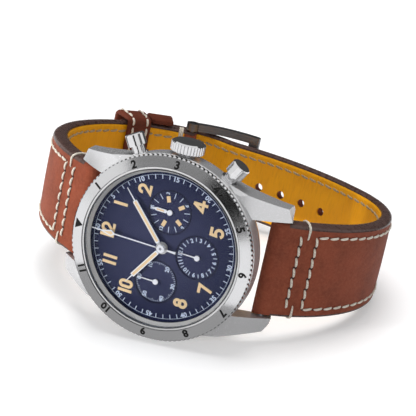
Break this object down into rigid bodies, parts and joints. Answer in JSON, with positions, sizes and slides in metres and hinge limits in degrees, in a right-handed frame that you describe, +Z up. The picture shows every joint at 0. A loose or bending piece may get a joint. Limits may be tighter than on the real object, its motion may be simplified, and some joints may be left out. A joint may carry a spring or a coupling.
{
  "type": "wristwatch",
  "caption": "Pilot chronograph watch: turning bezel, domed glass, three-counter dial, crown, pushers and buckled leather strap.",
  "frame": {"origin": "centre of the footprint on the ground, the watch lying on its 9 o'clock side", "axes": "+X towards 6 o'clock, -Y out of the dial, +Z up"},
  "size_m": [0.0832, 0.073, 0.0439],
  "materials": {
    "case_steel": "brushed",
    "polished_steel": "polished steel",
    "movement_nickel": "nickel plated",
    "gilt_brass": "gilt",
    "black_rubber": "matt",
    "glass": "clear",
    "dial_blue": "satin navy",
    "lume": "sand",
    "hand_white": "white",
    "leather_brown": "nubuck",
    "leather_mustard": "smooth",
    "holder_plastic": "matt"
  },
  "bodies": {
    "case": {"case_middle": "case_steel", "caseback": "case_steel", "gaskets": "black_rubber", "spring_bars": "polished_steel", "bezel_spring": "polished_steel", "crystal": "glass", "flange_ring": "polished_steel", "dial": "dial_blue", "lume_numerals": "lume", "movement_holder": "holder_plastic", "main_plate": "movement_nickel", "train_bridge": "movement_nickel", "chronograph_bridge": "movement_nickel", "balance_cock": "movement_nickel", "movement_screws": "polished_steel", "hairspring": "polished_steel", "case_tubes": "polished_steel", "pusher_springs": "polished_steel", "long_strap": "leather_brown", "long_strap_lining": "leather_mustard", "short_strap": "leather_brown", "short_strap_lining": "leather_mustard", "fixed_keeper": "leather_brown", "buckle_bar": "polished_steel"},
    "bezel": {"bezel": "case_steel"},
    "hour": {"hour_hand": "hand_white", "hour_lume": "lume", "hour_wheel": "gilt_brass"},
    "minute": {"minute_hand": "hand_white", "minute_lume": "lume", "cannon_pinion": "gilt_brass"},
    "minute_wheel": {"minute_wheel": "gilt_brass"},
    "chronograph": {"chrono_hand": "hand_white", "chrono_wheel": "gilt_brass"},
    "idler": {"chrono_idler": "gilt_brass"},
    "minute_counter": {"minute_counter_hand": "hand_white", "minute_counter_wheel": "gilt_brass"},
    "hour_counter": {"hour_counter_hand": "hand_white", "hour_counter_wheel": "gilt_brass"},
    "seconds": {"seconds_hand": "hand_white", "fourth_wheel": "gilt_brass"},
    "barrel": {"barrel": "gilt_brass"},
    "ratchet": {"ratchet_wheel": "polished_steel"},
    "centre": {"centre_wheel": "gilt_brass"},
    "third": {"third_wheel": "gilt_brass"},
    "escape": {"escape_wheel": "gilt_brass"},
    "pallet": {"pallet_fork": "polished_steel"},
    "balance": {"balance_wheel": "gilt_brass"},
    "column_wheel": {"column_wheel": "polished_steel"},
    "operating_lever": {"operating_lever": "polished_steel"},
    "reset_hammer": {"reset_hammer": "polished_steel"},
    "setting": {"setting_fork": "polished_steel"},
    "crown": {"crown": "polished_steel", "winding_stem": "polished_steel"},
    "upper_pusher": {"upper_pusher": "polished_steel"},
    "lower_pusher": {"lower_pusher": "polished_steel"},
    "keeper": {"floating_keeper": "leather_brown"},
    "buckle": {"buckle_frame": "polished_steel"},
    "tongue": {"buckle_tongue": "polished_steel"}
  },
  "joints": [
    {"name": "bezel_turn", "type": "hinge", "parent": "case", "child": "bezel", "pos_m": [0.00058, -0.03268, 0.02103], "axis": [0, -0.9883, 0.1526], "continuous": true},
    {"name": "minute_turn", "type": "hinge", "parent": "case", "child": "minute", "pos_m": [0.00058, -0.03256, 0.02101], "axis": [0, -0.9883, 0.1526], "continuous": true},
    {"name": "hour_turn", "type": "hinge", "parent": "case", "child": "hour", "pos_m": [0.00058, -0.03223, 0.02096], "axis": [0, -0.9883, 0.1526], "continuous": true},
    {"name": "minute_wheel_turn", "type": "hinge", "parent": "case", "child": "minute_wheel", "pos_m": [0.00269, -0.03033, 0.02183], "axis": [0, -0.9883, 0.1526], "continuous": true},
    {"name": "chronograph_turn", "type": "hinge", "parent": "case", "child": "chronograph", "pos_m": [0.00058, -0.03289, 0.02106], "axis": [0, -0.9883, 0.1526], "continuous": true},
    {"name": "idler_turn", "type": "hinge", "parent": "case", "child": "idler", "pos_m": [0.00244, -0.02455, 0.02451], "axis": [0, -0.9883, 0.1526], "continuous": true},
    {"name": "minute_counter_turn", "type": "hinge", "parent": "case", "child": "minute_counter", "pos_m": [0.00147, -0.03048, 0.02868], "axis": [0, -0.9883, 0.1526], "continuous": true},
    {"name": "hour_counter_turn", "type": "hinge", "parent": "case", "child": "hour_counter", "pos_m": [0.00848, -0.03182, 0.02], "axis": [0, -0.9883, 0.1526], "continuous": true},
    {"name": "seconds_turn", "type": "hinge", "parent": "case", "child": "seconds", "pos_m": [-0.00031, -0.03289, 0.01307], "axis": [0, -0.9883, 0.1526], "continuous": true},
    {"name": "third_turn", "type": "hinge", "parent": "case", "child": "third", "pos_m": [0.00194, -0.02849, 0.01604], "axis": [0, -0.9883, 0.1526], "continuous": true},
    {"name": "centre_turn", "type": "hinge", "parent": "case", "child": "centre", "pos_m": [0.00058, -0.02665, 0.0201], "axis": [0, -0.9883, 0.1526], "continuous": true},
    {"name": "barrel_turn", "type": "hinge", "parent": "case", "child": "barrel", "pos_m": [-0.00575, -0.02672, 0.02288], "axis": [0, -0.9883, 0.1526], "continuous": true},
    {"name": "escape_turn", "type": "hinge", "parent": "case", "child": "escape", "pos_m": [-0.00317, -0.03004, 0.01056], "axis": [0, -0.9883, 0.1526], "continuous": true},
    {"name": "pallet_rock", "type": "hinge", "parent": "case", "child": "pallet", "pos_m": [-0.00509, -0.02978, 0.01214], "axis": [0, -0.9883, 0.1526], "range_deg": [-5, 5]},
    {"name": "balance_swing", "type": "hinge", "parent": "case", "child": "balance", "pos_m": [-0.00831, -0.02682, 0.01442], "axis": [0, -0.9883, 0.1526], "range_deg": [-270, 270]},
    {"name": "column_turn", "type": "hinge", "parent": "case", "child": "column_wheel", "pos_m": [-0.0024, -0.02572, 0.02936], "axis": [0, -0.9883, 0.1526], "continuous": true},
    {"name": "crown_pull", "type": "slide", "parent": "case", "child": "setting", "axis": [0.1117, 0.1517, 0.9821], "range_m": [0, 0.001]},
    {"name": "crown_turn", "type": "hinge", "parent": "setting", "child": "crown", "pos_m": [0.00293, -0.02554, 0.04104], "axis": [0.1117, 0.1517, 0.9821], "continuous": true},
    {"name": "ratchet_turn", "type": "hinge", "parent": "case", "child": "ratchet", "pos_m": [-0.00575, -0.02509, 0.02263], "axis": [0, -0.9883, 0.1526], "continuous": true},
    {"name": "upper_pusher_press", "type": "slide", "parent": "case", "child": "upper_pusher", "axis": [0.4001, -0.1399, -0.9057], "range_m": [0, 0.0009], "stiffness_N_per_m": 3000, "springref_m": -0.0003},
    {"name": "operating_lever_turn", "type": "hinge", "parent": "case", "child": "operating_lever", "pos_m": [-0.00981, -0.02739, 0.02903], "axis": [0, -0.9883, 0.1526], "range_deg": [-9.04, 0]},
    {"name": "lower_pusher_press", "type": "slide", "parent": "case", "child": "lower_pusher", "axis": [-0.5936, -0.1228, -0.7953], "range_m": [0, 0.0009], "stiffness_N_per_m": 3000, "springref_m": -0.0003},
    {"name": "reset_hammer_turn", "type": "hinge", "parent": "case", "child": "reset_hammer", "pos_m": [0.01265, -0.02778, 0.02654], "axis": [0, -0.9883, 0.1526], "range_deg": [0, 9.04]},
    {"name": "keeper_slide", "type": "hinge", "parent": "case", "child": "keeper", "pos_m": [-0.01045, 0.00277, 0.01681], "axis": [0.1117, 0.1517, 0.9821], "range_deg": [0, 15.92]},
    {"name": "buckle_swing", "type": "hinge", "parent": "case", "child": "buckle", "pos_m": [-0.01776, 0.03041, 0.01337], "axis": [0.1117, 0.1517, 0.9821], "range_deg": [0, 5]},
    {"name": "tongue_swing", "type": "hinge", "parent": "buckle", "child": "tongue", "pos_m": [-0.01776, 0.03041, 0.01337], "axis": [0.1117, 0.1517, 0.9821], "range_deg": [0, 6]}
  ],
  "couplings": [
    {"joint": "hour_turn", "follows": "minute_turn", "ratio": 0.083333},
    {"joint": "minute_wheel_turn", "follows": "minute_turn", "ratio": -0.33333},
    {"joint": "third_turn", "follows": "seconds_turn", "ratio": -0.13333},
    {"joint": "centre_turn", "follows": "seconds_turn", "ratio": 0.016667},
    {"joint": "barrel_turn", "follows": "seconds_turn", "ratio": -0.0025},
    {"joint": "escape_turn", "follows": "seconds_turn", "ratio": -10},
    {"joint": "idler_turn", "follows": "chronograph_turn", "ratio": -0.2},
    {"joint": "minute_counter_turn", "follows": "chronograph_turn", "ratio": 0.066667},
    {"joint": "hour_counter_turn", "follows": "chronograph_turn", "ratio": 0.0013889},
    {"joint": "ratchet_turn", "follows": "crown_turn", "ratio": -0.4},
    {"joint": "operating_lever_turn", "follows": "upper_pusher_press", "rad_per_m": -165.67},
    {"joint": "reset_hammer_turn", "follows": "lower_pusher_press", "rad_per_m": 165.67}
  ]
}
